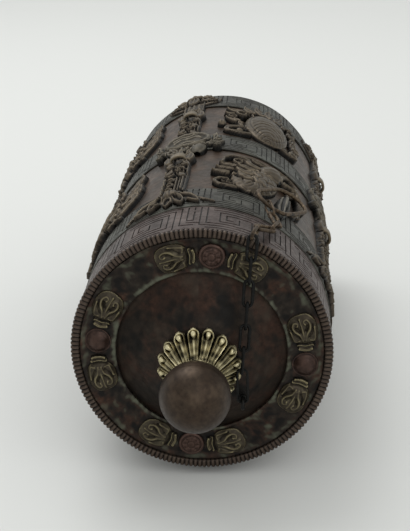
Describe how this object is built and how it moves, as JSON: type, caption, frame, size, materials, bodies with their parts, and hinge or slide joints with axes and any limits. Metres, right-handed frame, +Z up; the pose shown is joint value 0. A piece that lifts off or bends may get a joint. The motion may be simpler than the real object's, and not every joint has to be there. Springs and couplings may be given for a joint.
{
  "type": "ritual text case",
  "caption": "Round lying copper case with fret bands and applied relief, a lid with dome and ball finial that pulls off along its axis, and a link chain that loops over a stud.",
  "frame": {"origin": "middle of the underside of the whole object, which lies on its side as in the picture", "axes": "+Y along the case axis from the finial to the flat base, +Z up, +X to the side that the end loop lies towards"},
  "size_m": [0.1248, 0.3036, 0.1248],
  "materials": {
    "reddish_copper": "worn sheet copper with brown patina",
    "patina_copper": "chased sheet copper with pale grey-green patina",
    "dark_copper": "raised copper relief, darkened, rubbed bright on its high places",
    "old_brass": "old brass with olive patina",
    "blackened_iron": "hand-forged, dark, a little rusty"
  },
  "bodies": {
    "case": {"case_shell": "reddish_copper", "neck_sleeve": "reddish_copper", "base_plate": "reddish_copper", "upper_fret_band": "patina_copper", "middle_fret_band": "patina_copper", "base_fret_band": "patina_copper", "strap_1": "dark_copper", "strap_2": "dark_copper", "strap_3": "dark_copper", "strap_4": "dark_copper", "medallion_1": "dark_copper", "medallion_2": "dark_copper", "medallion_3": "dark_copper", "medallion_4": "dark_copper", "strap_loop_front_1": "dark_copper", "strap_loop_front_2": "dark_copper", "strap_loop_front_3": "dark_copper", "strap_loop_front_4": "dark_copper", "strap_loop_rear_1": "dark_copper", "strap_loop_rear_2": "dark_copper", "strap_loop_rear_3": "dark_copper", "strap_loop_rear_4": "dark_copper", "emblem_vase": "dark_copper", "emblem_wheel": "dark_copper", "emblem_fish": "dark_copper", "emblem_knot": "dark_copper", "emblem_conch": "dark_copper", "emblem_parasol": "dark_copper", "emblem_lotus": "dark_copper", "emblem_banner": "dark_copper", "catch_stud": "blackened_iron"},
    "lid": {"rim_beading": "dark_copper", "lid_skirt": "reddish_copper", "ornament_ring": "old_brass", "lid_top": "dark_copper", "lotus_collar": "old_brass", "finial_ball": "dark_copper", "finial_washer": "dark_copper", "finial_rod": "dark_copper", "chain_eye": "blackened_iron", "vajra_1": "old_brass", "vajra_2": "old_brass", "vajra_3": "old_brass", "vajra_4": "old_brass"},
    "pear_ring": {"pear_ring": "blackened_iron"},
    "link_01": {"chain_link_01": "blackened_iron"},
    "link_02": {"chain_link_02": "blackened_iron"},
    "link_03": {"chain_link_03": "blackened_iron"},
    "link_04": {"chain_link_04": "blackened_iron"},
    "link_05": {"chain_link_05": "blackened_iron"},
    "link_06": {"chain_link_06": "blackened_iron"},
    "link_07": {"chain_link_07": "blackened_iron"},
    "link_08": {"chain_link_08": "blackened_iron"},
    "link_09": {"chain_link_09": "blackened_iron"},
    "link_10": {"chain_link_10": "blackened_iron"},
    "link_11": {"chain_link_11": "blackened_iron"},
    "catch_loop": {"catch_loop": "blackened_iron"}
  },
  "joints": [
    {"name": "lid_lift", "type": "slide", "parent": "case", "child": "lid", "axis": [0, -1, 0], "range_m": [0, 0.03]},
    {"name": "chain_lift", "type": "hinge", "parent": "lid", "child": "pear_ring", "pos_m": [0.0185, -0.10898, 0.04489], "axis": [1, 0, 0], "range_deg": [0, 25]},
    {"name": "link_01_turn", "type": "hinge", "parent": "pear_ring", "child": "link_01", "pos_m": [0.0185, -0.11378, 0.06339], "axis": [0.9962, 0, -0.0872], "range_deg": [0, 3.8]},
    {"name": "link_02_turn", "type": "hinge", "parent": "link_01", "child": "link_02", "pos_m": [0.01916, -0.11171, 0.07089], "axis": [0.9962, 0, -0.0872], "range_deg": [0, 3.8]},
    {"name": "link_03_turn", "type": "hinge", "parent": "link_02", "child": "link_03", "pos_m": [0.02012, -0.10869, 0.08184], "axis": [0.9962, 0, -0.0872], "range_deg": [0, 3.8]},
    {"name": "link_04_turn", "type": "hinge", "parent": "link_03", "child": "link_04", "pos_m": [0.02077, -0.10661, 0.08934], "axis": [0.9962, 0, -0.0872], "range_deg": [0, 3.8]},
    {"name": "link_05_turn", "type": "hinge", "parent": "link_04", "child": "link_05", "pos_m": [0.02173, -0.10358, 0.10029], "axis": [0.9962, 0, -0.0872], "range_deg": [0, 3.8]},
    {"name": "link_06_turn", "type": "hinge", "parent": "link_05", "child": "link_06", "pos_m": [0.02238, -0.10151, 0.10779], "axis": [0.9962, 0, -0.0872], "range_deg": [0, 3.8]},
    {"name": "link_07_turn", "type": "hinge", "parent": "link_06", "child": "link_07", "pos_m": [0.02334, -0.09849, 0.11874], "axis": [0.9495, -0.2321, -0.2113], "range_deg": [0, 66.1]},
    {"name": "link_08_turn", "type": "hinge", "parent": "link_07", "child": "link_08", "pos_m": [0.02518, -0.0909, 0.11868], "axis": [0.9495, -0.2321, -0.2113], "range_deg": [0, 5]},
    {"name": "link_09_turn", "type": "hinge", "parent": "link_08", "child": "link_09", "pos_m": [0.03129, -0.08231, 0.11572], "axis": [0.8199, -0.2778, -0.5006], "range_deg": [0, 5]},
    {"name": "link_10_turn", "type": "hinge", "parent": "link_09", "child": "link_10", "pos_m": [0.03314, -0.07482, 0.11459], "axis": [0.8199, -0.2778, -0.5006], "range_deg": [0, 5]},
    {"name": "link_11_turn", "type": "hinge", "parent": "link_10", "child": "link_11", "pos_m": [0.03101, -0.06408, 0.11647], "axis": [0.8392, 0.2878, -0.4614], "range_deg": [0, 5]},
    {"name": "loop_lift", "type": "hinge", "parent": "link_11", "child": "catch_loop", "pos_m": [0.02802, -0.05667, 0.1189], "axis": [0.7079, -0.503, -0.4959], "range_deg": [0, 35]}
  ],
  "couplings": [
    {"joint": "link_07_turn", "follows": "lid_lift", "rad_per_m": 38.4}
  ]
}
